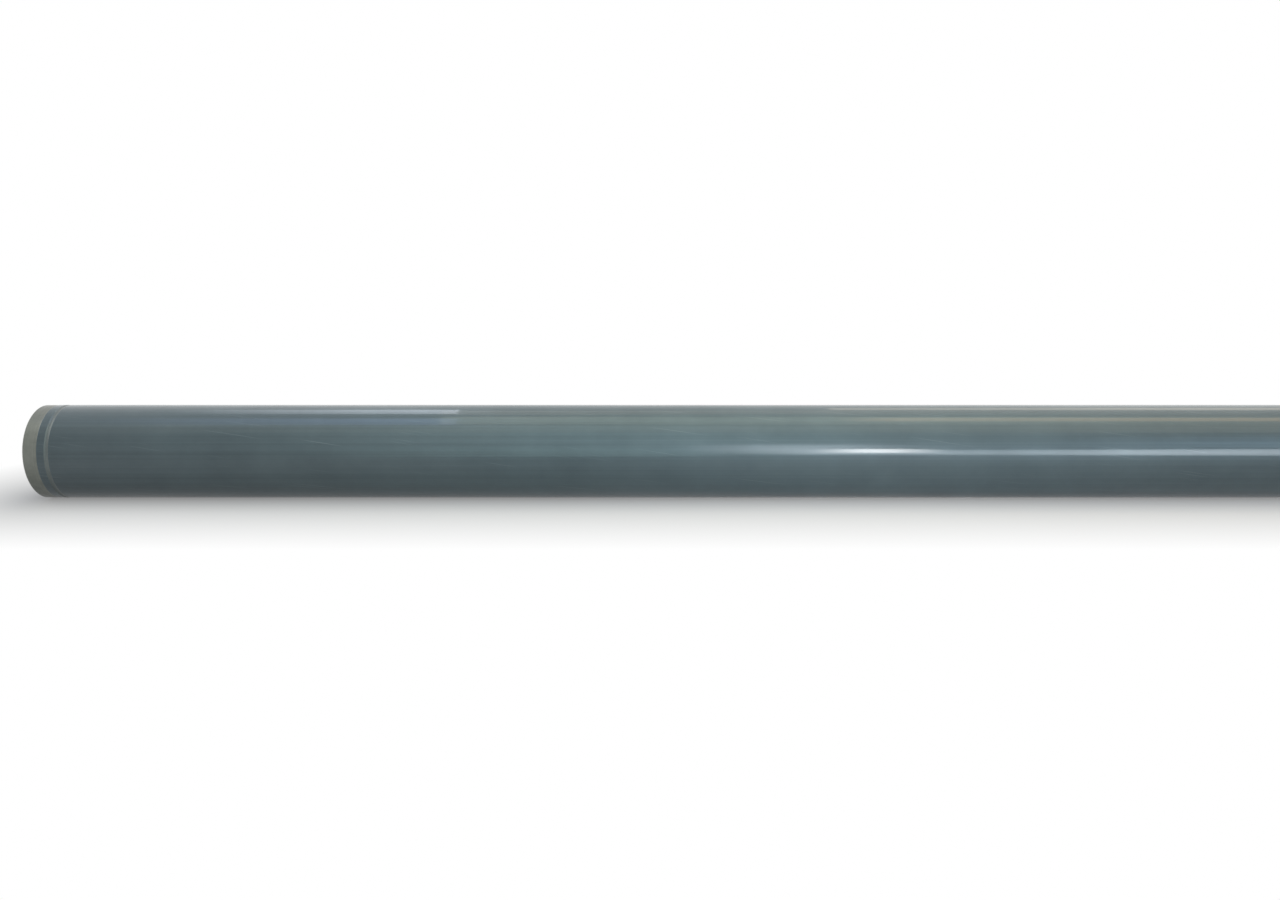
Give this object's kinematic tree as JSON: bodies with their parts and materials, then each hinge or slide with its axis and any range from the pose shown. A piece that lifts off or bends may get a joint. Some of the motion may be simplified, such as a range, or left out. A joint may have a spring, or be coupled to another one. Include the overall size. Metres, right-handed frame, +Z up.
{
  "type": "steel cylinder tube",
  "caption": "Round seamless steel cylinder tube with a smooth honed bore. One end has a skimmed land, a shallow ring groove and a seal lead-in, the other is cut plain.",
  "frame": {"origin": "centre of the machined end's face, on the tube's axis", "axes": "+X along the tube's axis towards the plain cut end, +Z up as the tube lies on a level floor"},
  "size_m": [2, 0.0998, 0.1],
  "materials": {
    "drawn_steel": "cold-drawn steel with a thin blue-grey oxide skin, semi-gloss and lightly oiled"
  },
  "bodies": {
    "root": {"tube": "drawn_steel"}
  },
  "joints": []
}
